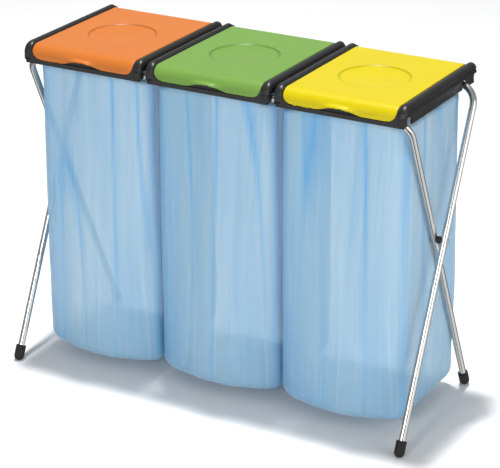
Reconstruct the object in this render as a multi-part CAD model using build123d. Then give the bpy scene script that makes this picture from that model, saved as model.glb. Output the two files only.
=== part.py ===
from build123d import *
import math
import os

# Folding stand for three sorting sacks, in millimetres.
# X runs along the row of modules, the front faces -Y, Z is up and the feet stand on Z = 0.

# the row
module_names = ("left", "middle", "right")
module_pitch = 325.0        # centre to centre of two modules
rim_width = 316.0

# the two crossed frames
bar_height = 755.0          # axis of both top bars above the floor
bar_spread = 296.0          # front bar axis to rear bar axis
foot_spread = 414.0         # front foot to rear foot, where the leg axes meet the floor
tube_diameter = 16.0
tube_wall = 1.2
bend_radius = 45.0          # at the tube's axis
leg_gap = 8.0               # between the two tubes at the pivot
leg_outset = 0.0            # inner leg's axis beyond the end of the row of rims

# pivot rivets
rivet_diameter = 6.0
rivet_head_radius = 6.5
rivet_head_height = 2.4
spacer_diameter = 17.0
running_clearance = 0.08    # radial, in every joint that turns

# foot caps
cap_diameter = 24.0
cap_length = 26.0           # straight part above the domed end
cap_flat_height = 11.0      # dome centre above the floor, which leaves a small flat
cap_floor_thickness = 7.0   # plastic under the end of the tube
cap_lip = 1.5               # flat ring left round the tube at the cap's top

# rims
rim_front_overhang = 18.0   # front bar axis to the rim's front face
rim_back_overhang = 52.0    # rear bar axis to the rim's back face
rim_drop = 10.0             # bar axis to the bottom of the skirt
rim_wall = 2.5
deck_rise = 17.0            # bar axis to the top of the deck
bead_width = 22.0           # lid recess to the outermost edge of the side bead
bead_overhang = 5.0         # bead beyond the skirt
bead_drop = 20.0            # lid top to the bead's widest line
bead_step = 3.0             # height of the sloping step from skirt to bead
bead_top_drop = 1.8         # lid top to the top of the bead
bead_round_across = 0.72    # where the bead's round bulges most, as a share of its width
bead_round_up = 0.70        # and as a share of its height
hollow_bend_across = 0.66   # the same for the hollow inside the bead
hollow_bend_drop = 4.0      # hollow's roof, from the recess down to that bend
hollow_roof_extra = 1.5     # plastic over the hollow, beyond the wall
skirt_hollow = 1.5          # depth of the skirt's concave side
shoulder_radius = 24.0      # rounded front end of each bead, seen from the side
rim_corner_radius = 12.0
strip_height = 10.0         # black strip that shows under the lid's lip
lip_gap = 1.2               # lid to rim
collar_depth = 14.0
collar_wall = 2.0
collar_bar_gap = 3.0        # collar to the bars
mouth_width = 236.0
mouth_corner_radius = 30.0
rib_thickness = 3.0
rib_offsets = (50.0, 110.0)  # each side of the module's middle
clip_mouth = 13.0           # width of the snap opening under the rear bar
seat_clearance = 0.15       # front bar to its saddle
bar_exit_angle = 56.0       # the front bar leaves its saddle this steeply, below level
bar_exit_length = 60.0
front_notch_ahead = 9.5     # notch edges before and behind the front bar's axis
front_notch_behind = 24.0
front_notch_rise = 9.0
front_notch_radius = 7.0
rear_notch_radius = 12.0
notch_reach = 6.0           # how far the side notches cut in from the skirt's face

# lids
lid_top_rise = 34.0         # bar axis to the lid's top
lid_wall = 2.5
lid_side_depth = 8.0
lid_front_roll = 24.0
lid_corner_radius = 22.0    # bottom corners of the front lip, seen from the front
medallion_radius = 80.0
medallion_depth = 0.8
medallion_groove_width = 4.8
tab_width = 116.0
tab_arch = 7.5              # height of the arched cut in the lip
tab_reach = 7.0             # crescent ledge beyond the lip
tab_thickness = 2.5

# lid and ring hinge
hinge_rod_diameter = 4.0
hinge_roll_radius = 13.0    # lid's rolled back edge about the hinge axis
hinge_back_gap = 4.0        # lid's back edge to the rim's back face
trough_lip = 1.5            # rim's back wall above the trough under the hinge
knuckle_radius = 5.0
knuckle_length = 10.0
lid_knuckle_offset = 95.0
ring_knuckle_offset = 70.0

# sacks and their clamp rings
sack_wall = 1.0
sack_clearance = 0.4
sack_width = 307.0
sack_front_y = -122.0
sack_back_y = 175.0
sack_corner_radius = 60.0
sack_bottom_radius = 45.0
sack_floor_gap = 2.5
sack_shoulder_drop = 30.0   # bar axis to the level where the sack is at its full width
sack_neck_drop = 11.0       # bar axis to the bottom of the narrow neck
sack_leg_gap = 5.0          # sack to the inner legs
sack_lap = 9.0              # turned over the collar
ring_plate = 3.0
ring_flange_wall = 2.0
ring_flange_depth = 12.0
ring_gap = 1.5              # flange to the sack's neck
ring_lap = 11.0             # plate beyond the collar's opening

# worked out from the sizes above
tube_radius = tube_diameter / 2
row_half = module_pitch * (len(module_names) - 1) / 2 + rim_width / 2
inner_leg_x = row_half + leg_outset
outer_leg_x = inner_leg_x + tube_diameter + leg_gap
front_bar_y = -bar_spread / 2
rear_bar_y = bar_spread / 2
pivot_z = bar_height * foot_spread / (foot_spread + bar_spread)
leg_length = math.hypot((bar_spread + foot_spread) / 2, bar_height)
leg_lean = math.degrees(math.atan2((bar_spread + foot_spread) / 2, bar_height))
tube_end = cap_floor_thickness + cap_diameter / 4     # along the leg, from the floor
rim_front_y = front_bar_y - rim_front_overhang
rim_back_y = rear_bar_y + rim_back_overhang
rim_bottom_z = bar_height - rim_drop
deck_top_z = bar_height + deck_rise
lid_top_z = bar_height + lid_top_rise
recess_half = rim_width / 2 - bead_width
skirt_half = rim_width / 2 - bead_overhang
lid_half = recess_half - lip_gap
lip_bottom_z = rim_bottom_z + strip_height + lip_gap
mouth_half_depth = bar_spread / 2 - tube_radius - collar_bar_gap - collar_wall
hinge_y = rim_back_y - hinge_back_gap - hinge_roll_radius
hinge_z = lid_top_z - hinge_roll_radius
trough_radius = hinge_roll_radius + lip_gap
trough_floor_z = hinge_z - trough_radius


def block(x0, x1, y0, y1, z0, z1):
    middle = Pos((x0 + x1) / 2, (y0 + y1) / 2, (z0 + z1) / 2)
    return middle * Box(x1 - x0, y1 - y0, z1 - z0)


def rod_along_x(radius, x0, x1, y, z):
    return Pos((x0 + x1) / 2, y, z) * Rot(0, 90, 0) * Cylinder(radius, x1 - x0)


def rounded_prism(half_x, half_y, radius, z0, z1, x=0.0, y=0.0):
    face = Pos(x, y, z0) * RectangleRounded(2 * half_x, 2 * half_y, radius)
    return extrude(face, z1 - z0)


def side_outline(edges, x0, x1):
    # a closed outline drawn as (y, z), extruded along X
    face = Pos(x0, 0, 0) * (Plane.YZ * make_face(edges))
    return extrude(face, x1 - x0, dir=(1, 0, 0))


def front_outline(edges, y0, y1):
    # a closed outline drawn as (x, z), extruded along Y
    face = Pos(0, y0, 0) * (Plane.XZ * make_face(edges))
    return extrude(face, y1 - y0, dir=(0, 1, 0))


def arc_about(centre, radius, start, end):
    # circular arc from one angle to another, in degrees
    angles = [math.radians(a) for a in (start, (start + end) / 2, end)]
    points = [(centre[0] + radius * math.cos(a), centre[1] + radius * math.sin(a)) for a in angles]
    return ThreePointArc(*points)


def join_points(*points):
    return [Line(a, b) for a, b in zip(points, points[1:])]


# steel frames

def frame_plane(bar_y):
    # holds the bar along its X and the legs along its Y, down to the feet on the other side
    reach = -(bar_spread + foot_spread) / 2 * math.copysign(1, bar_y)
    down = Vector(0, reach, -bar_height).normalized()
    return Plane(origin=(0, bar_y, bar_height), x_dir=(1, 0, 0), z_dir=Vector(1, 0, 0).cross(down))


def frame_rod(bar_y, leg_x, radius):
    end = leg_length - tube_end
    plane = frame_plane(bar_y)
    path = plane * FilletPolyline((-leg_x, end), (-leg_x, 0), (leg_x, 0), (leg_x, end), radius=bend_radius)
    start = Plane(origin=path @ 0, z_dir=path % 0)
    return sweep(start * Circle(radius), path=path)


def frame_tube(bar_y, leg_x, rivet_hole_radius):
    tube = frame_rod(bar_y, leg_x, tube_radius) - frame_rod(bar_y, leg_x, tube_radius - tube_wall)
    for side in (-1, 1):
        middle = side * leg_x
        tube -= rod_along_x(rivet_hole_radius, middle - tube_diameter, middle + tube_diameter, 0, pivot_z)
    return tube


def foot_cap(bar_y, leg_x):
    # a sleeve with a domed end on the leg's axis, cut flat at the floor
    cap_radius = cap_diameter / 2
    foot_y = -foot_spread / 2 * math.copysign(1, bar_y)
    lean = leg_lean * math.copysign(1, foot_y)
    at_floor = Pos(leg_x, foot_y, 0) * Rot(lean, 0, 0)
    dome_s = cap_flat_height / math.cos(math.radians(leg_lean))
    cap = at_floor * Pos(0, 0, dome_s) * Sphere(cap_radius)
    sleeve = Pos(0, 0, dome_s + cap_length / 2) * Cylinder(cap_radius, cap_length)
    top_rim = sleeve.edges().group_by(Axis.Z)[-1]
    cap += at_floor * fillet(top_rim, cap_radius - tube_radius - cap_lip)
    cap -= block(leg_x - cap_diameter, leg_x + cap_diameter, foot_y - cap_diameter, foot_y + cap_diameter,
                 -cap_diameter, 0)
    return cap - at_floor * tube_socket()


def tube_socket():
    # the space that the tube's end fills, along the cap's own axis from the floor up
    return Pos(0, 0, tube_end + leg_length / 2) * Cylinder(tube_radius, leg_length)


# pivots

def pivot_spacer(side):
    # sits on the outer tube, with a flat end that the inner tube turns against
    inner_face = inner_leg_x + tube_radius + running_clearance
    outer_face = outer_leg_x - tube_radius / 2
    spacer = rod_along_x(spacer_diameter / 2, inner_face, outer_face, 0, pivot_z)
    spacer -= rod_along_x(rivet_diameter / 2, inner_face, outer_face, 0, pivot_z)
    if side < 0:
        spacer = mirror(spacer, Plane.YZ)
    return spacer - frame_rod(rear_bar_y, outer_leg_x, tube_radius)


def dome_arc(face_x, direction):
    # half outline of a low dome on a rivet's end, from the axis out to the face
    dome_radius = (rivet_head_radius ** 2 + rivet_head_height ** 2) / (2 * rivet_head_height)
    centre_x = face_x + direction * (rivet_head_height - dome_radius)
    half_angle = math.asin(rivet_head_radius / dome_radius) / 2
    middle = (centre_x + direction * dome_radius * math.cos(half_angle), dome_radius * math.sin(half_angle))
    return ThreePointArc((face_x + direction * rivet_head_height, 0), middle, (face_x, rivet_head_radius))


def pivot_rivet(side):
    inner_face = inner_leg_x - tube_radius - running_clearance
    outer_face = outer_leg_x + tube_radius
    shank = rivet_diameter / 2
    outline = [dome_arc(inner_face, -1), dome_arc(outer_face, 1)]
    outline += join_points((inner_face, rivet_head_radius), (inner_face, shank), (outer_face, shank),
                           (outer_face, rivet_head_radius))
    outline += join_points((inner_face - rivet_head_height, 0), (outer_face + rivet_head_height, 0))
    half = Pos(0, 0, pivot_z) * (Plane.XZ * make_face(outline))
    rivet = revolve(half, Axis((0, 0, pivot_z), (1, 0, 0)))
    return mirror(rivet, Plane.YZ) if side < 0 else rivet


# rims

def rim_front_view(inset=0.0):
    # the moulding seen from the front: concave skirts under round beads
    bottom = rim_bottom_z
    bead_z = lid_top_z - bead_drop
    top = lid_top_z - bead_top_drop - inset
    skirt = skirt_half - inset
    bead = rim_width / 2 - inset
    step_z = bead_z - bead_step
    waist_z = (bottom + step_z) / 2
    bead_rise = top - bead_z
    crown = recess_half + inset
    knee = (crown + (bead - crown) * bead_round_across, bead_z + bead_rise * bead_round_up)
    edges = []
    for side in (-1, 1):
        edges += [
            Line((0, bottom), (side * skirt, bottom)),
            ThreePointArc((side * skirt, bottom), (side * (skirt - skirt_hollow), waist_z),
                          (side * skirt, step_z)),
            Line((side * skirt, step_z), (side * bead, bead_z)),
            ThreePointArc((side * bead, bead_z), (side * knee[0], knee[1]), (side * crown, top)),
            Line((side * crown, top), (0, top)),
        ]
    return edges


def rim_body():
    body = front_outline(rim_front_view(), rim_front_y, rim_back_y)
    top = lid_top_z
    shoulder = (rim_front_y + shoulder_radius, top - shoulder_radius)
    side = [arc_about(shoulder, shoulder_radius, 180, 90)]
    side += join_points((shoulder[0], top), (rim_back_y, top), (rim_back_y, rim_bottom_z),
                        (rim_front_y, rim_bottom_z), (rim_front_y, shoulder[1]))
    envelope = side_outline(side, -rim_width, rim_width)
    plan_y = (rim_front_y + rim_back_y) / 2
    plan_depth = (rim_back_y - rim_front_y) / 2
    plan = rounded_prism(rim_width / 2, plan_depth, rim_corner_radius, rim_bottom_z, top, y=plan_y)
    square_back = block(-rim_width / 2, rim_width / 2, 0, rim_back_y, rim_bottom_z, top)
    return body & envelope & (plan + square_back)


def lid_recess():
    # room for the lid, its front lip and the ring, open to the front and the top
    high = lid_top_z + 1
    floor_z = rim_bottom_z + strip_height
    recess = block(-recess_half, recess_half, rim_front_y + lid_wall + lip_gap,
                   hinge_y, deck_top_z, high)
    corner = lid_corner_radius + lip_gap
    lip_room = front_outline(lip_front_view(recess_half, floor_z, high, corner),
                             rim_front_y - 1, rim_front_y + lid_wall + lip_gap)
    hinge_room = rod_along_x(trough_radius, -recess_half, recess_half, hinge_y, hinge_z)
    hinge_room += block(-recess_half, recess_half, hinge_y - trough_radius, hinge_y + trough_radius,
                        hinge_z, high)
    back_gate = block(-recess_half, recess_half, hinge_y, rim_back_y + 1, trough_floor_z + trough_lip, high)
    return recess + lip_room + hinge_room + back_gate


def lip_front_view(half, low, high, radius):
    # upright panel with rounded bottom corners, seen from the front
    edges = join_points((half, low + radius), (half, high), (-half, high), (-half, low + radius))
    edges.append(arc_about((-half + radius, low + radius), radius, 180, 270))
    edges += join_points((-half + radius, low), (half - radius, low))
    edges.append(arc_about((half - radius, low + radius), radius, 270, 360))
    return edges


def rim_hollow():
    # open underside between the skirts, below the deck, the trough and the beads
    low = rim_bottom_z - 1
    inside = skirt_half - skirt_hollow - rim_wall
    deck_under = deck_top_z - rim_wall
    ledge_under = rim_bottom_z + strip_height - rim_wall
    trough_under = trough_floor_z - rim_wall
    front_wall_y = rim_front_y + lid_wall + lip_gap + rim_wall
    trough_front_y = hinge_y - trough_radius - rim_wall
    back_wall_y = rim_back_y - rim_wall
    hollow = block(-inside, inside, rim_front_y + rim_wall, back_wall_y, low, ledge_under)
    hollow += block(-inside, inside, front_wall_y, trough_front_y, low, deck_under)
    hollow += block(-inside, inside, front_wall_y, back_wall_y, low, trough_under)
    bead_z = lid_top_z - bead_drop
    for side in (-1, 1):
        inner_x = side * (recess_half + rim_wall)
        outer_x = side * (rim_width / 2 - rim_wall)
        top = lid_top_z - bead_top_drop - rim_wall - hollow_roof_extra
        bend_x = inner_x + (outer_x - inner_x) * hollow_bend_across
        step_z = bead_z - bead_step + rim_wall
        outline = join_points((side * inside, ledge_under), (side * inside, step_z),
                              (outer_x, bead_z + rim_wall / 2), (bend_x, top - hollow_bend_drop),
                              (inner_x, top), (inner_x, ledge_under), (side * inside, ledge_under))
        hollow += front_outline(outline, rim_front_y + shoulder_radius, back_wall_y)
    return hollow


def bar_clips():
    # ribs that carry the moulding on both bars
    ribs = Part()
    low = rim_bottom_z
    high = deck_top_z - rim_wall / 2
    collar_y = mouth_half_depth + collar_wall / 2
    front_y = rim_front_y + rim_wall / 2
    behind_front_wall = rim_front_y + lid_wall + lip_gap + rim_wall / 2
    back_y = hinge_y - trough_radius - rim_wall / 2
    strip_top = rim_bottom_z + strip_height - rim_wall / 2
    for offset in rib_offsets:
        for side in (-1, 1):
            x0 = side * offset - rib_thickness / 2
            x1 = side * offset + rib_thickness / 2
            ribs += block(x0, x1, behind_front_wall, -collar_y, low, high)
            ribs += block(x0, x1, front_y, behind_front_wall, low, strip_top)
            ribs += block(x0, x1, collar_y, back_y, low, high)
    return ribs


def rear_bar_room():
    # snap opening round the rear bar, and a wide notch where the side skirts cross it
    reach = rib_offsets[-1] + rib_thickness
    low = rim_bottom_z - 1
    seat = rod_along_x(tube_radius + running_clearance, -reach, reach, rear_bar_y, bar_height)
    mouth = block(-reach, reach, rear_bar_y - clip_mouth / 2, rear_bar_y + clip_mouth / 2, low, bar_height)
    room = seat + mouth
    for side in (-1, 1):
        ends = sorted((side * (skirt_half - notch_reach), side * rim_width / 2))
        room += rod_along_x(rear_notch_radius, ends[0], ends[1], rear_bar_y, bar_height) & skirt_zone(ends)
        room += block(ends[0], ends[1], rear_bar_y - rear_notch_radius, rear_bar_y + rear_notch_radius,
                      low, bar_height)
    return room


def skirt_zone(ends):
    # the side skirt's height, up to the underside of the bead
    zone_top = lid_top_z - bead_drop - bead_step
    return block(ends[0], ends[1], rim_front_y, rim_back_y, rim_bottom_z - 1, zone_top)


def front_bar_room():
    # saddle over the front bar, open down and back so that the bar can leave as the stand folds
    reach = rib_offsets[-1] + rib_thickness
    low = rim_bottom_z - 1
    radius = tube_radius + seat_clearance
    angle = math.radians(bar_exit_angle)
    end_y = front_bar_y + bar_exit_length * math.cos(angle)
    end_z = bar_height - bar_exit_length * math.sin(angle)
    shift = (radius * math.sin(angle), radius * math.cos(angle))
    lane = join_points((front_bar_y + shift[0], bar_height + shift[1]), (end_y + shift[0], end_z + shift[1]),
                       (front_bar_y - radius, end_z), (front_bar_y - radius, bar_height),
                       (front_bar_y + shift[0], bar_height + shift[1]))
    room = rod_along_x(radius, -reach, reach, front_bar_y, bar_height)
    room += side_outline(lane, -reach, reach)
    y0 = front_bar_y - front_notch_ahead
    y1 = front_bar_y + front_notch_behind
    for side in (-1, 1):
        ends = sorted((side * (skirt_half - notch_reach), side * rim_width / 2))
        notch = block(ends[0], ends[1], y0, y1, low - 1, bar_height + front_notch_rise)
        tops = notch.edges().filter_by(Axis.X).group_by(Axis.Z)[-1]
        room += fillet(tops, front_notch_radius)
    return room


def make_rim():
    rim = rim_body() - lid_recess() - rim_hollow()
    half_x = mouth_width / 2
    collar_top = deck_top_z - rim_wall / 2
    collar = rounded_prism(half_x + collar_wall, mouth_half_depth + collar_wall,
                           mouth_corner_radius + collar_wall, deck_top_z - collar_depth, collar_top)
    rim += collar
    rim += bar_clips()
    rim -= rounded_prism(half_x, mouth_half_depth, mouth_corner_radius, rim_bottom_z - 1, lid_top_z)
    rim -= rear_bar_room()
    rim -= front_bar_room()
    rod_end = recess_half + rim_wall
    return rim - rod_along_x(hinge_rod_diameter / 2, -rod_end, rod_end, hinge_y, hinge_z)


def make_hinge_rod():
    rod_end = recess_half + rim_wall
    return rod_along_x(hinge_rod_diameter / 2, -rod_end, rod_end, hinge_y, hinge_z)


# lids

def lid_curve(inset):
    # from the rolled back edge over the flat top to the bottom of the front lip, as (y, z)
    roll = hinge_roll_radius - inset
    top = lid_top_z - inset
    front = rim_front_y + inset
    bend = lid_front_roll - inset
    bend_centre = (rim_front_y + lid_front_roll, lid_top_z - lid_front_roll)
    edges = [arc_about((hinge_y, hinge_z), roll, 0, 90)]
    edges += [Line((hinge_y, top), (bend_centre[0], top))]
    edges += [arc_about(bend_centre, bend, 90, 180)]
    edges += [Line((front, bend_centre[1]), (front, lip_bottom_z))]
    return edges


def make_lid():
    side_z = lid_top_z - lid_side_depth
    inner_y = rim_front_y + lid_wall
    outer = lid_curve(0) + join_points((rim_front_y, lip_bottom_z), (inner_y, lip_bottom_z),
                                       (inner_y, deck_top_z + lip_gap), (inner_y + lid_side_depth, side_z),
                                       (hinge_y, side_z), (hinge_y + hinge_roll_radius - lid_wall, hinge_z),
                                       (hinge_y + hinge_roll_radius, hinge_z))
    inner_back = hinge_y + hinge_roll_radius - lid_wall
    low = lip_bottom_z - lid_wall
    inner = lid_curve(lid_wall) + join_points((inner_y, lip_bottom_z), (inner_y, low),
                                              (inner_back, low), (inner_back, hinge_z))
    lid = side_outline(outer, -lid_half, lid_half)
    lid -= side_outline(inner, -lid_half + lid_wall, lid_half - lid_wall)
    front_view = lip_front_view(lid_half, lip_bottom_z, lid_top_z, lid_corner_radius)
    lid &= front_outline(front_view, rim_front_y, rim_back_y)
    lid -= medallion_groove()
    lid = lid - tab_cut() + tab_ledge()
    for side in (-1, 1):
        x0 = side * lid_knuckle_offset - knuckle_length / 2
        x1 = side * lid_knuckle_offset + knuckle_length / 2
        lid += rod_along_x(knuckle_radius, x0, x1, hinge_y, hinge_z)
        lid += block(x0, x1, hinge_y - knuckle_radius, hinge_y + knuckle_radius / 2,
                     hinge_z, lid_top_z - lid_wall / 2)
    bore = hinge_rod_diameter / 2 + running_clearance
    return lid - rod_along_x(bore, -lid_half, lid_half, hinge_y, hinge_z)


def medallion_groove():
    middle_y = (rim_front_y + hinge_y) / 2
    disc = Cylinder(medallion_radius, 2 * medallion_depth)
    disc -= Cylinder(medallion_radius - medallion_groove_width, 4 * medallion_depth)
    return Pos(0, middle_y, lid_top_z) * disc


def tab_radius(rise):
    # circle through both ends of the tab's width with this rise in the middle
    return (tab_width ** 2 / 4 + rise ** 2) / (2 * rise)


def tab_cut():
    radius = tab_radius(tab_arch)
    centre_z = lip_bottom_z + tab_arch - radius
    arch = Pos(0, rim_front_y + lid_wall, centre_z) * Rot(90, 0, 0) * Cylinder(radius, 6 * lid_wall)
    return arch & block(-tab_width, tab_width, rim_front_y - lid_wall, rim_front_y + 2 * lid_wall,
                        lip_bottom_z - tab_arch, lid_top_z)


def tab_ledge():
    # crescent shelf above the arch, seen from above
    radius = tab_radius(tab_reach)
    ledge_z = lip_bottom_z + tab_arch
    disc_y = rim_front_y - tab_reach + radius
    disc = Pos(0, disc_y, ledge_z + tab_thickness / 2) * Cylinder(radius, tab_thickness)
    return disc & block(-tab_width, tab_width, rim_front_y - tab_reach, rim_front_y + lid_wall / 2,
                        ledge_z, ledge_z + tab_thickness)


# sacks and clamp rings

def sack_form(inset, module_x, top_z):
    # a tall body with rounded corners and bottom, drawn in to a neck that fits the rim's collar
    shift = sack_shift(module_x)
    half_y = (sack_back_y - sack_front_y) / 2 - inset
    middle_y = (sack_back_y + sack_front_y) / 2
    shoulder_z = bar_height - sack_shoulder_drop
    neck_z = bar_height - sack_neck_drop
    body = rounded_prism(sack_width / 2 - inset, half_y, sack_corner_radius - inset,
                         sack_floor_gap + inset, shoulder_z, x=shift, y=middle_y)
    floor_edges = body.edges().group_by(Axis.Z)[0]
    body = fillet(floor_edges, sack_bottom_radius - inset)
    neck_x = mouth_width / 2 - sack_clearance - inset
    neck_y = mouth_half_depth - sack_clearance - inset
    neck_radius = mouth_corner_radius - sack_clearance - inset
    wide = Pos(shift, middle_y, shoulder_z) * RectangleRounded(sack_width - 2 * inset, 2 * half_y,
                                                                sack_corner_radius - inset)
    narrow = Pos(0, 0, neck_z) * RectangleRounded(2 * neck_x, 2 * neck_y, neck_radius)
    body += loft([wide, narrow])
    return body + rounded_prism(neck_x, neck_y, neck_radius, neck_z, top_z)


def sack_shift(module_x):
    # an end sack leans inward, away from the inner legs
    limit = inner_leg_x - tube_radius - sack_leg_gap - sack_width / 2
    return max(-limit, min(limit, module_x)) - module_x


def make_sack(module_x):
    lap_z = deck_top_z + sack_clearance
    lap_x = mouth_width / 2 + sack_lap
    lap_y = mouth_half_depth + sack_lap
    sack = sack_form(0, module_x, lap_z + sack_wall)
    sack += rounded_prism(lap_x, lap_y, mouth_corner_radius + sack_lap, lap_z, lap_z + sack_wall)
    return sack - sack_form(sack_wall, module_x, lid_top_z)


def make_ring():
    plate_z = deck_top_z + 2 * sack_clearance + sack_wall
    neck_inset = sack_clearance + sack_wall + ring_gap
    half_x = mouth_width / 2 - neck_inset
    half_y = mouth_half_depth - neck_inset
    radius = mouth_corner_radius - neck_inset
    ring = rounded_prism(mouth_width / 2 + ring_lap, mouth_half_depth + ring_lap,
                         mouth_corner_radius + ring_lap, plate_z, plate_z + ring_plate)
    ring += rounded_prism(half_x, half_y, radius, plate_z - ring_flange_depth, plate_z)
    for side in (-1, 1):
        x0 = side * ring_knuckle_offset - knuckle_length / 2
        x1 = side * ring_knuckle_offset + knuckle_length / 2
        ring += block(x0, x1, mouth_half_depth, hinge_y, plate_z, plate_z + ring_plate)
        ring += rod_along_x(knuckle_radius, x0, x1, hinge_y, hinge_z)
    wall = ring_flange_wall
    ring -= rounded_prism(half_x - wall, half_y - wall, radius - wall, rim_bottom_z, lid_top_z)
    bore = hinge_rod_diameter / 2 + running_clearance
    return ring - rod_along_x(bore, -lid_half, lid_half, hinge_y, hinge_z)


def make_parts():
    hole = rivet_diameter / 2
    parts = {
        "outer_frame_tube": frame_tube(rear_bar_y, outer_leg_x, hole),
        "inner_frame_tube": frame_tube(front_bar_y, inner_leg_x, hole + running_clearance),
    }
    for side, side_name in ((-1, "left"), (1, "right")):
        parts["front_foot_" + side_name] = foot_cap(rear_bar_y, side * outer_leg_x)
        parts["rear_foot_" + side_name] = foot_cap(front_bar_y, side * inner_leg_x)
        parts["pivot_spacer_" + side_name] = pivot_spacer(side)
        parts["pivot_rivet_" + side_name] = pivot_rivet(side)
    rim = make_rim()
    lid = make_lid()
    ring = make_ring()
    rod = make_hinge_rod()
    for index, name in enumerate(module_names):
        module_x = module_pitch * (index - (len(module_names) - 1) / 2)
        here = Pos(module_x, 0, 0)
        parts[name + "_rim"] = here * rim
        parts[name + "_lid"] = here * lid
        parts[name + "_clamp_ring"] = here * ring
        parts[name + "_hinge_rod"] = here * rod
        parts[name + "_sack"] = here * make_sack(module_x)
    return parts


os.makedirs("parts", exist_ok=True)
for node, shape in make_parts().items():
    export_step(shape, "parts/" + node + ".step")
    print(node, round(shape.volume))
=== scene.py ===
import math
import bmesh
import bpy
from mathutils import Matrix, Vector, noise


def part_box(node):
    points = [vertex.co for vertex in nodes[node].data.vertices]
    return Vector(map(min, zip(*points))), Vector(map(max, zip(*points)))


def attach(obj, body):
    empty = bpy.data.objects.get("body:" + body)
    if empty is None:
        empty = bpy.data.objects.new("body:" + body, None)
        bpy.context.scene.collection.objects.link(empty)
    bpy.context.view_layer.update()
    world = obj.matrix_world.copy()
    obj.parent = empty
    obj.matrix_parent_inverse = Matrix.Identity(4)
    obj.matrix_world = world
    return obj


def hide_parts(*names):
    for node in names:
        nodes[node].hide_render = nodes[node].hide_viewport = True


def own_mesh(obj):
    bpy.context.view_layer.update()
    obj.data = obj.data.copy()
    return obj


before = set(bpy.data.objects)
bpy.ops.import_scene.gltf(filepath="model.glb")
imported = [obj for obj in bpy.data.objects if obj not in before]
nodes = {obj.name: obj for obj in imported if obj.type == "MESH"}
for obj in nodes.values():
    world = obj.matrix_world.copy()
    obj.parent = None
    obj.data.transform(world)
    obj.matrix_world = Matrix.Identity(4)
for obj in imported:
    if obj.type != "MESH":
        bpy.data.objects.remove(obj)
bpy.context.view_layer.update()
print("frame loaded,", len(nodes), "nodes")

modules = {"left": "orange", "middle": "green", "right": "yellow"}


# shader maths written as ordinary maths
class Wire:
    def __init__(self, paint, socket):
        self.paint, self.socket = paint, socket

    def maths(self, operation, *values):
        return self.paint.node("ShaderNodeMath", {"operation": operation}, dict(enumerate(values)))

    def __add__(self, other):
        return self.maths("ADD", self, other)

    def __radd__(self, other):
        return self.maths("ADD", other, self)

    def __sub__(self, other):
        return self.maths("SUBTRACT", self, other)

    def __mul__(self, other):
        return self.maths("MULTIPLY", self, other)

    def sharper(self, low, high):
        # 0 below low, 1 above high
        return self.paint.node("ShaderNodeMapRange", {"clamp": True, "interpolation_type": "SMOOTHSTEP"},
                               {"Value": self, "From Min": low, "From Max": high})


class Paint:
    def __init__(self, name, **fixed):
        self.material = bpy.data.materials.new(name)
        self.material.use_nodes = True
        self.tree = self.material.node_tree
        self.shader = self.tree.nodes["Principled BSDF"]
        for key, value in fixed.items():
            self.shader.inputs[key.replace("_", " ")].default_value = value

    def node(self, kind, settings=None, inputs=None, output=0):
        made = self.tree.nodes.new(kind)
        for key, value in (settings or {}).items():
            setattr(made, key, value)
        for key, value in (inputs or {}).items():
            self.plug(value, made.inputs[key])
        return Wire(self, made.outputs[output])

    def plug(self, value, socket):
        if isinstance(value, Wire):
            self.tree.links.new(value.socket, socket)
        else:
            socket.default_value = value

    def where(self, kind="Object"):
        return self.node("ShaderNodeTexCoord", output=kind)

    def stretched(self, vector, scale):
        return self.node("ShaderNodeMapping", {}, {"Vector": vector, "Scale": scale})

    def grain(self, vector, scale, detail=3.0, rough=0.5, warp=0.0):
        return self.node("ShaderNodeTexNoise", {}, {"Vector": vector, "Scale": scale, "Detail": detail,
                                                    "Roughness": rough, "Distortion": warp})

    def blend(self, factor, low, high):
        mixed = self.tree.nodes.new("ShaderNodeMix")
        mixed.data_type = "RGBA"
        self.plug(factor, mixed.inputs[0])
        self.plug(low, mixed.inputs[6])
        self.plug(high, mixed.inputs[7])
        return Wire(self, mixed.outputs[2])

    def bump(self, height, distance, strength=1.0):
        return self.node("ShaderNodeBump", {}, {"Height": height, "Distance": distance, "Strength": strength})

    def finish(self, **wires):
        for key, value in wires.items():
            self.plug(value, self.shader.inputs[key.replace("_", " ")])
        return self.material


# moulded plastic: fine spark-eroded grain, soft flow marks, faint rubbing, and painted shade in the groove
# round the lid's disc
def plasticPaint(name, look):
    paint = Paint(name, Metallic=0.0, IOR=1.49, Specular_IOR_Level=look["shine"])
    where = paint.where()
    flow = paint.grain(where, 9.0, 2.0)
    patch = paint.grain(where, 38.0, 4.0, 0.6)
    grain = paint.grain(where, look["grainScale"], 2.0)
    rubbed = paint.grain(paint.stretched(where, (60.0, 400.0, 60.0)), 1.0, 3.0).sharper(0.62, 0.78)
    colour = paint.blend(flow, look["dark"], look["light"])
    colour = paint.blend(rubbed * look["rubbing"], colour, look["worn"])
    # painted shade: the colour is darkened along the groove round the disc, where shade falls
    discGrooveShade = paint.node("ShaderNodeAttribute", {"attribute_name": "discGrooveShade"}, {}, output=2)
    colour = paint.blend(discGrooveShade * 0.55, colour, tuple(c * 0.45 for c in look["dark"][:3]) + (1,))
    rough = look["rough"] + (patch - 0.5) * 0.12 + rubbed * 0.06
    height = grain * 0.8 + patch * 0.2
    return paint.finish(Base_Color=colour, Roughness=rough,
                        Normal=paint.bump(height, look["grainDepth"], 0.6))


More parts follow.
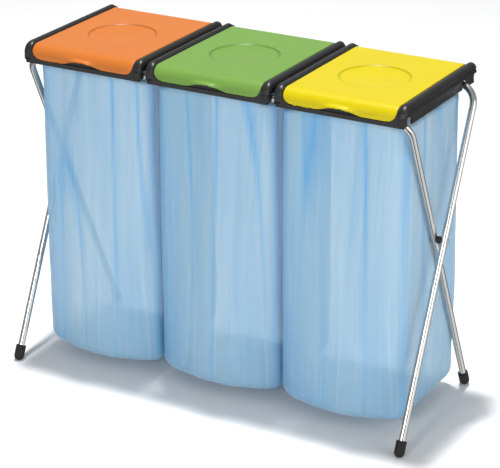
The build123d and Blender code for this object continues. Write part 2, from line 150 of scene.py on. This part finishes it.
plasticLooks = {
    "orange": {"dark": (0.560, 0.160, 0.024, 1), "light": (0.605, 0.178, 0.031, 1),
               "worn": (0.66, 0.26, 0.08, 1)},
    "green": {"dark": (0.152, 0.300, 0.052, 1), "light": (0.170, 0.328, 0.062, 1),
              "worn": (0.26, 0.42, 0.15, 1)},
    "yellow": {"dark": (0.600, 0.485, 0.0004, 1), "light": (0.635, 0.518, 0.0006, 1),
               "worn": (0.70, 0.60, 0.04, 1)},
}
lidPaints = {}
for tint, look in plasticLooks.items():
    look.update(shine=0.26, rough=0.38, grainScale=2600.0, grainDepth=0.00006, rubbing=0.25)
    lidPaints[tint] = plasticPaint(tint + "Plastic", look)
charcoalLook = {"dark": (0.012, 0.012, 0.012, 1), "light": (0.019, 0.019, 0.018, 1),
                "worn": (0.06, 0.06, 0.06, 1), "shine": 0.42, "rough": 0.38, "grainScale": 1900.0,
                "grainDepth": 0.00009, "rubbing": 0.3}
charcoalPaint = plasticPaint("charcoalPlastic", charcoalLook)
rubberPaint = plasticPaint("capRubber", dict(charcoalLook, rough=0.62, shine=0.35, grainScale=1300.0))


# bright zinc plate: drawn along the tube, a little cloudy, with fine scratches
def steelPaint(name, tint, rough):
    paint = Paint(name, Metallic=1.0)
    where = paint.where()
    cloud = paint.grain(where, 22.0, 4.0, 0.6)
    drawn = paint.grain(paint.stretched(where, (900.0, 900.0, 14.0)), 1.0, 3.0)
    speck = paint.grain(where, 700.0, 2.0).sharper(0.66, 0.75)
    colour = paint.blend(cloud, tint, tuple(c * 0.86 for c in tint[:3]) + (1,))
    colour = paint.blend(speck * 0.35, colour, (0.33, 0.34, 0.36, 1))
    return paint.finish(Base_Color=colour, Roughness=rough + (cloud - 0.5) * 0.10 + drawn * 0.05,
                        Normal=paint.bump(drawn, 0.00002, 0.5))


tubePaint = steelPaint("zincPlatedTube", (0.74, 0.73, 0.71, 1), 0.20)
rivetPaint = steelPaint("rivetSteel", (0.66, 0.66, 0.66, 1), 0.28)


# thin blown film: clear blue, denser in streaks along the sack and wherever it creases (partly doubled film,
# partly painted shade), with painted shade over the left of each front and fine near-white streaks of painted
# glint
def filmPaint(name, look):
    paint = Paint(name, Metallic=0.0, IOR=1.50, Specular_IOR_Level=0.35)
    flat = paint.where("UV")
    slow = paint.stretched(flat, (4.0, 1.7, 1.0))
    drift = paint.node("ShaderNodeTexNoise", {}, {"Vector": slow, "Scale": 1.0, "Detail": 2.0}, output=1)
    along = paint.node("ShaderNodeVectorMath", {"operation": "MULTIPLY_ADD"},
                        {0: drift, 1: (0.06, 0.0, 0.0), 2: flat})
    broad = paint.grain(paint.stretched(along, (7.0, 0.9, 1.0)), 1.0, 3.0, 0.55, 0.3)
    streak = paint.grain(paint.stretched(along, (32.0, 1.6, 1.0)), 1.0, 4.0, 0.6, 0.2)
    crumple = paint.grain(paint.stretched(along, (16.0, 9.0, 1.0)), 1.0, 4.0, 0.55, 0.6)
    # painted shade: this attribute carries crease density and a broad painted shade on the left of each
    # front, deepening the blue and thickening the film
    crease = paint.node("ShaderNodeAttribute", {"attribute_name": "foldAndShade"}, {}, output=2)
    deep = (broad * 0.65 + streak * 0.35).sharper(0.30, 0.74)
    fine = paint.grain(paint.stretched(along, (80.0, 2.6, 1.0)), 1.0, 4.0, 0.65, 0.8)
    colour = paint.blend(deep * 0.60 + crease * 0.75, look["pale"], look["blue"])
    # painted glints: fine near-white streaks stand in for small highlights on the film
    colour = paint.blend(fine.sharper(0.46, 0.82) * 0.30, colour, look["glintWhite"])
    alpha = look["thin"] + deep * look["streakDensity"] + fine * 0.08 + crease * look["creaseAndShadeDensity"]
    height = streak * 0.4 + crumple * 0.6
    rough = look["rough"] + (crumple - 0.5) * 0.2
    return paint.finish(Base_Color=colour, Alpha=alpha, Roughness=rough,
                        Normal=paint.bump(height, 0.003, 0.5))


filmLook = {"pale": (0.43, 0.65, 0.80, 1), "blue": (0.14, 0.42, 0.74, 1), "glintWhite": (0.62, 0.75, 0.84, 1),
            "thin": 0.64, "streakDensity": 0.08, "creaseAndShadeDensity": 0.14, "rough": 0.40}
sackPaint = filmPaint("blueFilm", filmLook)
print("materials made")


def dress(node, material):
    # a CAD node keeps its mesh and takes a better finish
    mesh = nodes[node].data
    for index in range(len(mesh.materials)):
        mesh.materials[index] = material
    if not mesh.materials:
        mesh.materials.append(material)


for node in nodes:
    if node.endswith("_tube"):
        dress(node, tubePaint)
    elif "_foot_" in node:
        dress(node, rubberPaint)
    elif "rivet" in node or node.endswith("hinge_rod"):
        dress(node, rivetPaint)
    else:
        dress(node, charcoalPaint)


def finishPiece(name, shape, material, body, stands=(), smooth=True):
    mesh = bpy.data.meshes.new(name)
    for face in shape.faces:
        face.smooth = smooth
    shape.to_mesh(mesh)
    shape.free()
    piece = bpy.data.objects.new(name, mesh)
    bpy.context.scene.collection.objects.link(piece)
    mesh.materials.append(material)
    if stands:
        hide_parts(*stands)
    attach(piece, body)
    return piece


def wrappedGrid(around, rings, place, uvSize=None, extra=None):
    # a grid whose two sides are rolled into a surface by place(u, v), merged at the seam and
    # the pole where the two sides land on the same point
    shape = bmesh.new()
    bmesh.ops.create_grid(shape, x_segments=around, y_segments=rings, size=1.0)
    uvLayer = shape.loops.layers.uv.new("UVMap") if uvSize else None
    extraLayer = shape.verts.layers.float.new(extra[0]) if extra else None
    spots = {}
    for vert in shape.verts:
        spots[vert] = ((vert.co.x + 1) / 2, (vert.co.y + 1) / 2)
    if uvLayer:
        for face in shape.faces:
            for loop in face.loops:
                u, v = spots[loop.vert]
                loop[uvLayer].uv = (u * uvSize[0], v * uvSize[1])
    for vert, (u, v) in spots.items():
        vert.co = place(u, v)
        if extra:
            vert[extraLayer] = extra[1](u, v)
    bmesh.ops.remove_doubles(shape, verts=shape.verts, dist=0.00001)
    return shape


# lids: rolled back edge, flat top with a dished disc, front roll and lip with a thumb tab
lidSpec = {"backRoll": 0.013, "frontRoll": 0.024, "lipCorner": 0.022, "discRadius": 0.080, "discStep": 0.0027,
           "discDish": 0.0026, "discMargin": 0.0012, "stepWidth": 0.0020, "grooveShade": 0.0042,
           "topRound": 0.0009, "edgeRound": 0.0018, "edgeDrop": 0.0055, "wall": 0.0022,
           "tabHalf": 0.054, "tabArch": 0.0125, "tabFlare": 0.0100, "archRun": 0.020, "flareRun": 0.022,
           "around": 360, "discRings": 26, "outerRings": 58, "edgeRings": 6,
           "knuckle": 0.005, "knuckleLength": 0.010, "knuckleAt": 0.095, "webThickness": 0.007}


def smoothStep(low, high, x):
    t = min(1.0, max(0.0, (x - low) / (high - low)))
    return t * t * (3 - 2 * t)


def buildLid(name, tint):
    spec = lidSpec
    low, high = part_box(name + "_lid")
    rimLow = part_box(name + "_rim")[0]
    midX = (low.x + high.x) / 2
    half = (high.x - low.x) / 2
    frontY, topZ, lipZ = rimLow.y, high.z, low.z
    hingeY, hingeZ = high.y - spec["backRoll"], high.z - spec["backRoll"]
    rollBack, rollFront = spec["backRoll"], spec["frontRoll"]
    # length along the lid from its back lip, over the top, to the bottom of the front lip
    backArc = rollBack * math.pi / 2
    flat = hingeY - (frontY + rollFront)
    frontArc = rollFront * math.pi / 2
    lip = topZ - rollFront - lipZ
    total = backArc + flat + frontArc + lip
    centreS = backArc + hingeY - (frontY + hingeY) / 2
    corner = spec["lipCorner"]

    def tabShape(x):
        t = min(1.0, abs(x) / spec["tabHalf"])
        return (0.5 + 0.5 * math.cos(math.pi * t)) ** 0.8

    def spot(x, s, drop):
        # the point s along the lid, drop inwards from its outer skin
        if s < backArc:
            a = s / rollBack
            y, z = hingeY + rollBack * math.cos(a), hingeZ + rollBack * math.sin(a)
            normal = (math.cos(a), math.sin(a))
        elif s < backArc + flat:
            y, z, normal = hingeY - (s - backArc), topZ, (0.0, 1.0)
        elif s < backArc + flat + frontArc:
            a = math.pi / 2 + (s - backArc - flat) / rollFront
            y = frontY + rollFront + rollFront * math.cos(a)
            z = topZ - rollFront + rollFront * math.sin(a)
            normal = (math.cos(a), math.sin(a))
        else:
            y, z, normal = frontY, topZ - rollFront - (s - backArc - flat - frontArc), (-1.0, 0.0)
        fromDisc = math.hypot(x, s - centreS)
        if fromDisc < spec["discRadius"] + 0.002:
            share = fromDisc / spec["discRadius"]
            inside = 1 - smoothStep(spec["discRadius"] - spec["stepWidth"], spec["discRadius"], fromDisc)
            z -= inside * spec["discStep"] + spec["discDish"] * max(0.0, 1 - share * share)
        tab = tabShape(x)
        lift = smoothStep(total - spec["flareRun"], total, s) * tab
        y -= lift ** 1.5 * spec["tabFlare"]
        z += smoothStep(total - spec["archRun"], total, s) * tab * spec["tabArch"]
        return Vector((midX + x, y - normal[0] * drop, z - normal[1] * drop))

    # outline of the laid-out lid, walked once round from the middle of the back edge
    def outline(u):
        width, depth = 2 * half, total
        walk = (u % 1.0) * 2 * (width + depth)
        if walk < half:
            return walk, 0.0
        walk -= half
        if walk < depth:
            return half, walk
        walk -= depth
        if walk < width:
            return half - walk, depth
        walk -= width
        if walk < depth:
            return -half, depth - walk
        return -half + walk - depth, 0.0

    def narrowed(x, s, inset):
        # rounds the two bottom corners of the lip, on this line of the sheet
        r = corner - inset
        edge = half - inset
        reach = s - (total - corner)
        if reach <= 0:
            return x
        width = edge - corner + inset + math.sqrt(max(0.0, r * r - min(reach, r) ** 2)) if r > 0 else edge
        return x * width / edge

    discRings, outerRings, edgeRings = spec["discRings"], spec["outerRings"], spec["edgeRings"]
    rings = discRings + outerRings + edgeRings

    def place(u, v):
        ring = round(v * rings)
        outX, outS = outline(u)
        turn = math.atan2(outS - centreS, outX)
        if ring <= discRings:
            # rings bunch up at the step round the disc
            share = ring / discRings
            radius = (spec["discRadius"] + spec["discMargin"]) * (1 - (1 - share) ** 1.6)
            return spot(radius * math.cos(turn), centreS + radius * math.sin(turn), 0.0)
        share = min(1.0, (ring - discRings) / outerRings)
        start = spec["discRadius"] + spec["discMargin"]
        x = start * math.cos(turn) * (1 - share) + outX * share
        s = centreS + start * math.sin(turn) * (1 - share) + (outS - centreS) * share
        x = narrowed(x, s, 0.0)
        drop = 0.0
        if ring > discRings + outerRings:
            down = (ring - discRings - outerRings) / edgeRings
            drop = spec["edgeDrop"] * down if abs(outX) >= half - 0.0001 else spec["edgeRound"] * down
        else:
            # the last rings round over into the side
            drop = spec["topRound"] * smoothStep(0.975, 1.0, share)
        return spot(x, s, drop)

    def paintedGrooveShade(u, v):
        # painted shade for the groove, strongest on the step round the disc
        ring = round(v * rings)
        share = min(1.0, ring / discRings)
        radius = (spec["discRadius"] + spec["discMargin"]) * (1 - (1 - share) ** 1.6)
        radius += max(0, ring - discRings) * 0.002
        return max(0.0, 1 - abs(radius - spec["discRadius"] + spec["stepWidth"] / 2) / spec["grooveShade"])

    shape = wrappedGrid(spec["around"], rings, place, extra=("discGrooveShade", paintedGrooveShade))
    bmesh.ops.recalc_face_normals(shape, faces=shape.faces)
    top = max(shape.faces, key=lambda f: f.calc_center_median().z)
    if top.normal.z < 0:
        bmesh.ops.reverse_faces(shape, faces=shape.faces)
    piece = finishPiece(name + "LidSkin", shape, lidPaints[tint], name + "_lid_body",
                        [name + "_lid"])
    thicken = piece.modifiers.new("wall", "SOLIDIFY")
    thicken.thickness = spec["wall"]
    thicken.offset = -1.0
    thicken.use_even_offset = False
    # knuckles that turn on the hinge rod
    shape = bmesh.new()
    for side in (-1, 1):
        made = bmesh.ops.create_cone(shape, cap_ends=True, segments=28, radius1=spec["knuckle"],
                                     radius2=spec["knuckle"], depth=spec["knuckleLength"])
        bmesh.ops.rotate(shape, verts=made["verts"], cent=(0, 0, 0), matrix=turnToX)
        knuckleX = midX + side * spec["knuckleAt"]
        bmesh.ops.translate(shape, verts=made["verts"], vec=(knuckleX, hingeY, hingeZ))
        web = bmesh.ops.create_cube(shape, size=1.0)
        webSize = (spec["knuckleLength"] * 0.8, spec["webThickness"], spec["backRoll"] - 0.002)
        bmesh.ops.scale(shape, verts=web["verts"], vec=webSize)
        bmesh.ops.translate(shape, verts=web["verts"], vec=(knuckleX, hingeY, hingeZ + spec["backRoll"] / 2))
    finishPiece(name + "LidKnuckles", shape, lidPaints[tint], name + "_lid_body",
                smooth=False)


turnToX = Matrix(((0, 0, 1), (0, 1, 0), (-1, 0, 0)))
for name, tint in modules.items():
    buildLid(name, tint)
print("lids made")


# rims: a full round bead along each side, running down over the front shoulder
beadSpec = {"gap": 0.0012, "inset": 0.0006, "rise": 0.0036, "depth": 0.0125, "shoulder": 0.022,
            "endRound": 0.007, "drop": 0.004, "across": 26, "along": 130}


def buildBeads(name):
    spec = beadSpec
    low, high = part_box(name + "_rim")
    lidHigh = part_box(name + "_lid")[1]
    inner, outer = lidHigh.x + spec["gap"], high.x - spec["inset"]
    halfWidth, offset = (outer - inner) / 2, (outer + inner) / 2 - (low.x + high.x) / 2
    frontY, backY, topZ = low.y, high.y - 0.001, lidHigh.z
    shoulder = spec["shoulder"]
    flat = backY - (frontY + shoulder)
    arc = shoulder * math.pi / 2
    fall = topZ - shoulder - low.z - spec["drop"]
    total = flat + arc + fall
    shape = bmesh.new()
    for side in (-1, 1):
        centre = (low.x + high.x) / 2 + side * offset
        made = bmesh.ops.create_grid(shape, x_segments=spec["across"], y_segments=spec["along"], size=1.0)
        for vert in made["verts"]:
            turn, s = (vert.co.x + 1) * math.pi / 2, (vert.co.y + 1) / 2 * total
            fromEnd = min(s, total - s) / spec["endRound"]
            swell = math.sqrt(max(0.0, 1 - (1 - min(1.0, fromEnd)) ** 2))
            out = spec["rise"] - spec["depth"] + spec["depth"] * math.sin(turn) ** 0.8 * (0.35 + 0.65 * swell)
            if s < flat:
                y, z, ny, nz = backY - s, topZ, 0.0, 1.0
            elif s < flat + arc:
                a = (s - flat) / shoulder
                ny, nz = -math.sin(a), math.cos(a)
                y, z = frontY + shoulder + shoulder * ny, topZ - shoulder + shoulder * nz
            else:
                y, z, ny, nz = frontY, topZ - shoulder - (s - flat - arc), -1.0, 0.0
            # the front part stands out less than the top
            out *= 1.0 if out < 0 else 1.0 - 0.75 * abs(ny)
            vert.co = (centre - halfWidth * math.cos(turn), y + ny * out, z + nz * out)
    bmesh.ops.recalc_face_normals(shape, faces=shape.faces)
    for face in shape.faces:
        if face.normal.z < -0.05:
            face.normal_flip()
    finishPiece(name + "RimBeads", shape, charcoalPaint, name + "_rim_body")


for name in modules:
    buildBeads(name)
print("beads made")


# sacks: a film tube gathered at the collar, falling in pleats to a rounded bottom
sackSpec = {"around": 300, "down": 150, "cornerBody": 0.042, "cornerFoot": 0.040, "hangs": 0.027,
            "lap": (0.1265, 0.1435), "neck": (0.1172, 0.1342), "neckZ": 0.7455, "shoulderZ": 0.7290,
            "chestZ": 0.6900, "waistZ": 0.4200, "sideOut": 0.004, "footFrom": 0.720, "footRun": 0.13,
            "leftThirdShade": 0.105, "rightGather": 0.020, "frontBulge": 0.037, "frontBack": 0.021,
            "backOut": 0.014, "bottomRound": 0.032, "pleat": 0.0038, "bulge": 0.006, "crumple": 0.0035,
            "flat": (1.06, 0.92), "uvSize": (1.06, 0.93), "foldY": 0.148, "foldKeep": 0.05}


def roundedPoint(u, halfX, halfY, radius):
    # a point and its outward direction on a rounded rectangle, walked once round from the middle of the back
    runs = [(0, halfX - radius), (radius, 0), (0, 2 * halfY - 2 * radius), (radius, 0),
            (0, 2 * halfX - 2 * radius), (radius, 0), (0, 2 * halfY - 2 * radius), (radius, 0),
            (0, halfX - radius)]
    length = sum(turning * math.pi / 2 + straight for turning, straight in runs)
    walk = (u % 1.0) * length
    x, y, heading = 0.0, halfY, 0.0
    for turning, straight in runs:
        part = min(walk, turning * math.pi / 2 + straight)
        if turning:
            centreX, centreY = x + radius * math.sin(heading), y - radius * math.cos(heading)
            heading -= part / radius
            x, y = centreX - radius * math.sin(heading), centreY + radius * math.cos(heading)
        else:
            x, y = x + part * math.cos(heading), y + part * math.sin(heading)
        walk -= part
        if walk <= 1e-12:
            break
    return x, y, -math.sin(heading), math.cos(heading)


def buildSack(name, seed):
    spec = sackSpec
    low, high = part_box(name + "_sack")
    low.z += spec["hangs"]
    rimLow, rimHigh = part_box(name + "_rim")
    moduleX = (rimLow.x + rimHigh.x) / 2
    bodyX, bodyY = (low.x + high.x) / 2, (low.y + high.y) / 2
    halfX, halfY = (high.x - low.x) / 2, (high.y - low.y) / 2
    lapX, lapY = spec["lap"]
    lapZ = high.z - 0.0006
    neckX, neckY = spec["neck"]
    # profile from the lap over the collar down to the middle of the bottom:
    # (share of the way, height, half width, half depth, corner, share of the body's offset)
    rows = [
        (0.000, lapZ, lapX, lapY, 0.039, 0.0),
        (0.010, lapZ, neckX + 0.001, neckY + 0.001, 0.030, 0.0),
        (0.014, lapZ - 0.004, neckX, neckY, 0.029, 0.0),
        (0.030, spec["neckZ"], neckX, neckY, 0.029, 0.0),
        (0.075, spec["shoulderZ"], halfX + 0.001, halfY - 0.001, 0.040, 1.0),
        (0.110, spec["chestZ"], halfX + 0.002, halfY - 0.001, spec["cornerBody"], 1.0),
        (0.400, spec["waistZ"], halfX + spec["sideOut"], halfY, spec["cornerBody"], 1.0),
        (spec["footFrom"], low.z + spec["bottomRound"], halfX + spec["sideOut"], halfY,
         spec["cornerFoot"], 1.0),
    ]
    rounds = 12
    for step in range(1, rounds + 1):
        a = step / rounds * math.pi / 2
        inward = spec["bottomRound"] * (1 - math.cos(a))
        rows.append((spec["footFrom"] + spec["footRun"] * step / rounds,
                     low.z + spec["bottomRound"] * (1 - math.sin(a)),
                     halfX + spec["sideOut"] - inward, halfY - inward,
                     max(0.030, spec["cornerFoot"] - inward), 1.0))
    last = rows[-1]
    rows.append((0.95, low.z + 0.0012, last[2] * 0.5, last[3] * 0.5, last[4] * 0.5, 1.0))
    rows.append((1.0, low.z + 0.0012, 0.0, 0.0, 0.0, 1.0))

    def profile(v):
        for a, b in zip(rows, rows[1:]):
            if v <= b[0]:
                t = (v - a[0]) / (b[0] - a[0])
                return [p + (q - p) * t for p, q in zip(a[1:], b[1:])]
        return list(rows[-1][1:])

    def pleats(u, z):
        # sharp-backed gathers at the top that die away into broad soft folds; they don't repeat
        # from u = 1 to u = 0, so the two sides stand up to 3 mm apart down the middle of the back
        p = u * spec["flat"][0]
        top = smoothStep(0.35, 0.74, z)
        wander = 0.010 * noise.noise(Vector((p * 3.0, z * 2.2, seed)))
        fine = noise.noise(Vector(((p + wander) * 34.0, z * 1.3, seed + 3.1)))
        mid = noise.noise(Vector(((p + wander) * 15.0, z * 0.9, seed + 7.7)))
        broad = noise.noise(Vector((p * 6.5, z * 1.5, seed + 11.3)))
        ridge = 1 - 2 * abs(mid)
        return fine * (0.25 + 0.75 * top), ridge, broad

    def foldAndShadeAmount(u, v):
        # creases (partly doubled film, partly painted shade), a broad painted shade over the left of the
        # front standing for light from the right, and the film gathered at the right front corner
        z, hx, hy, radius, share = profile(v)
        if hx <= 0:
            return 0.0
        fine, ridge, broad = pleats(u, z)
        crease = max(0.0, ridge - 0.72) / 0.28 * (0.35 + 0.65 * smoothStep(0.1, 0.7, z))
        x, y, nx, ny = roundedPoint(u, hx, hy, min(radius, hx * 0.98, hy * 0.98))
        if ny > -0.2:
            return crease
        # painted shade: the film turns deeper blue over the left part of the front, standing for light that
        # falls from the right
        leftThirdShade = (1 - smoothStep(0.0, spec["leftThirdShade"], x + hx)) * (0.62 + 0.5 * fine)
        rightGather = (1 - smoothStep(0.0, spec["rightGather"], hx - x)) * 0.7
        return min(1.0, max(crease, leftThirdShade, rightGather))

    def place(u, v):
        z, hx, hy, radius, share = profile(v)
        if hx <= 0:
            return Vector((bodyX, bodyY, z))
        x, y, nx, ny = roundedPoint(u, hx, hy, min(radius, hx * 0.98, hy * 0.98))
        across = x / hx
        x += moduleX + (bodyX - moduleX) * share
        y += bodyY * share
        # lower down the back hangs out, and the front swells between its drawn-in corners
        sink = smoothStep(0.0, 0.70, 0.745 - z)
        swell = spec["backOut"] if ny > 0 else spec["frontBack"] - spec["frontBulge"] * (1 - across * across)
        y += share * sink * swell * abs(ny)
        fade = smoothStep(0.03, 0.10, v) * (1 - smoothStep(0.80, 0.97, v))
        fine, ridge, broad = pleats(u, z)
        pleat = 0.20 * fine - 0.40 * max(0.0, ridge - 0.5) * 2
        push = spec["pleat"] * pleat + spec["bulge"] * broad * 0.6
        lowDown = 1 - smoothStep(0.10, 0.45, z)
        crumple = noise.noise(Vector((x * 16, y * 16, z * 13 + seed))) * spec["crumple"] * lowDown
        push = (push + crumple - 0.003) * fade
        lift = 0.004 * (noise.noise(Vector((x * 9, y * 9, seed + 2))) + 0.5) * smoothStep(0.80, 0.9, v)
        return Vector((x + nx * push, y + ny * push, z + max(0.0, lift)))

    shape = wrappedGrid(spec["around"], spec["down"], place, uvSize=spec["uvSize"],
                        extra=("foldAndShade", foldAndShadeAmount))
    bmesh.ops.recalc_face_normals(shape, faces=shape.faces)
    probe = max(shape.faces, key=lambda f: f.calc_center_median().x)
    if probe.normal.x < 0:
        bmesh.ops.reverse_faces(shape, faces=shape.faces)
    piece = finishPiece(name + "SackFilm", shape, sackPaint, "outer_frame", [name + "_sack"])
    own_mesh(piece)


for index, name in enumerate(modules):
    buildSack(name, 5.3 * index + 1.7)
print("sacks made")


# studio: white floor and surround, a small strong light above, a soft one in front, a wide one at the right
studio = {"floorColour": (0.92, 0.92, 0.92, 1), "floorHalf": 14.0, "lobes": 3.0, "lobeTurn": 0.9,
          "lobeFrom": (-0.75, 0.15), "lobeTo": (0.12, 0.95), "overhead": 0.33, "cameraTurn": 29.26,
          "cameraRise": 22.19, "cameraDistance": 4.862, "cameraTarget": (0.05156, -0.06003, 0.38752),
          "focal": 153.5256}
floorMesh = bmesh.new()
bmesh.ops.create_grid(floorMesh, x_segments=1, y_segments=1, size=studio["floorHalf"])
floorData = bpy.data.meshes.new("studioFloor")
floorMesh.to_mesh(floorData)
floorMesh.free()
floor = bpy.data.objects.new("studioFloor", floorData)
bpy.context.scene.collection.objects.link(floor)
floorPaint = Paint("studioFloor", Roughness=0.9, Specular_IOR_Level=0.0)
floorData.materials.append(floorPaint.finish(Base_Color=studio["floorColour"]))
floor.visible_glossy = False

world = bpy.data.worlds.new("studioWorld")
bpy.context.scene.world = world
world.use_nodes = True
tree = world.node_tree
tree.nodes.clear()


def worldNode(kind, settings=None, inputs=None):
    made = tree.nodes.new(kind)
    for key, value in (settings or {}).items():
        setattr(made, key, value)
    for key, value in (inputs or {}).items():
        if isinstance(value, bpy.types.NodeSocket):
            tree.links.new(value, made.inputs[key])
        else:
            made.inputs[key].default_value = value
    return made


direction = worldNode("ShaderNodeTexCoord").outputs["Generated"]
parts = worldNode("ShaderNodeSeparateXYZ", {}, {0: direction})
turn = worldNode("ShaderNodeMath", {"operation": "ARCTAN2"}, {0: parts.outputs[1], 1: parts.outputs[0]})
lobes = worldNode("ShaderNodeMath", {"operation": "MULTIPLY"}, {0: turn.outputs[0], 1: studio["lobes"]})
shifted = worldNode("ShaderNodeMath", {"operation": "ADD"}, {0: lobes.outputs[0], 1: studio["lobeTurn"]})
wave = worldNode("ShaderNodeMath", {"operation": "SINE"}, {0: shifted.outputs[0]})
fromLow, fromHigh = studio["lobeFrom"]
toLow, toHigh = studio["lobeTo"]
band = worldNode("ShaderNodeMapRange", {},
                 {"Value": wave.outputs[0], "From Min": fromLow, "From Max": fromHigh,
                  "To Min": toLow, "To Max": toHigh})
upward = worldNode("ShaderNodeMapRange", {}, {"Value": parts.outputs[2], "From Min": 0.0, "From Max": 0.3})
tone = worldNode("ShaderNodeMix", {"data_type": "FLOAT"},
                 {0: upward.outputs[0], 2: band.outputs[0], 3: studio["overhead"]})
rays = worldNode("ShaderNodeLightPath")
cameraOrNot = worldNode("ShaderNodeMix", {"data_type": "FLOAT"},
                        {0: rays.outputs["Is Camera Ray"], 2: tone.outputs[0], 3: 1.0})
background = worldNode("ShaderNodeBackground", {},
                       {"Color": (0.97, 0.985, 1.0, 1), "Strength": cameraOrNot.outputs[0]})
worldNode("ShaderNodeOutputWorld", {}, {0: background.outputs[0]})


def areaLight(name, spot, aim, size, power, colour=(1, 1, 1)):
    data = bpy.data.lights.new(name, "AREA")
    data.shape = "RECTANGLE"
    data.size, data.size_y = size
    data.energy = power
    data.color = colour
    lamp = bpy.data.objects.new(name, data)
    bpy.context.scene.collection.objects.link(lamp)
    lamp.location = spot
    lamp.rotation_euler = (Vector(aim) - Vector(spot)).to_track_quat("-Z", "Y").to_euler()


areaLight("topLight", (-0.35, 0.42, 7.0), (0, 0, 0.0), (0.5, 0.5), 455)
areaLight("frontLight", (0.5, -4.5, 2.0), (0, 0, 0.3), (0.9, 0.9), 52, (1.0, 0.99, 0.97))
areaLight("sideLight", (4.2, -1.2, 1.7), (0, 0, 0.4), (3.0, 2.4), 46)

cameraData = bpy.data.cameras.new("camera")
cameraData.sensor_width = 36.0
cameraData.lens = studio["focal"]
cameraData.clip_end = 60.0
camera = bpy.data.objects.new("camera", cameraData)
bpy.context.scene.collection.objects.link(camera)
turn, rise = math.radians(studio["cameraTurn"]), math.radians(studio["cameraRise"])
back = Vector((math.sin(turn) * math.cos(rise), -math.cos(turn) * math.cos(rise), math.sin(rise)))
camera.location = Vector(studio["cameraTarget"]) + back * studio["cameraDistance"]
camera.rotation_euler = (-back).to_track_quat("-Z", "Y").to_euler()
bpy.context.scene.camera = camera
bpy.context.scene.view_settings.view_transform = "Standard"
print("studio made")
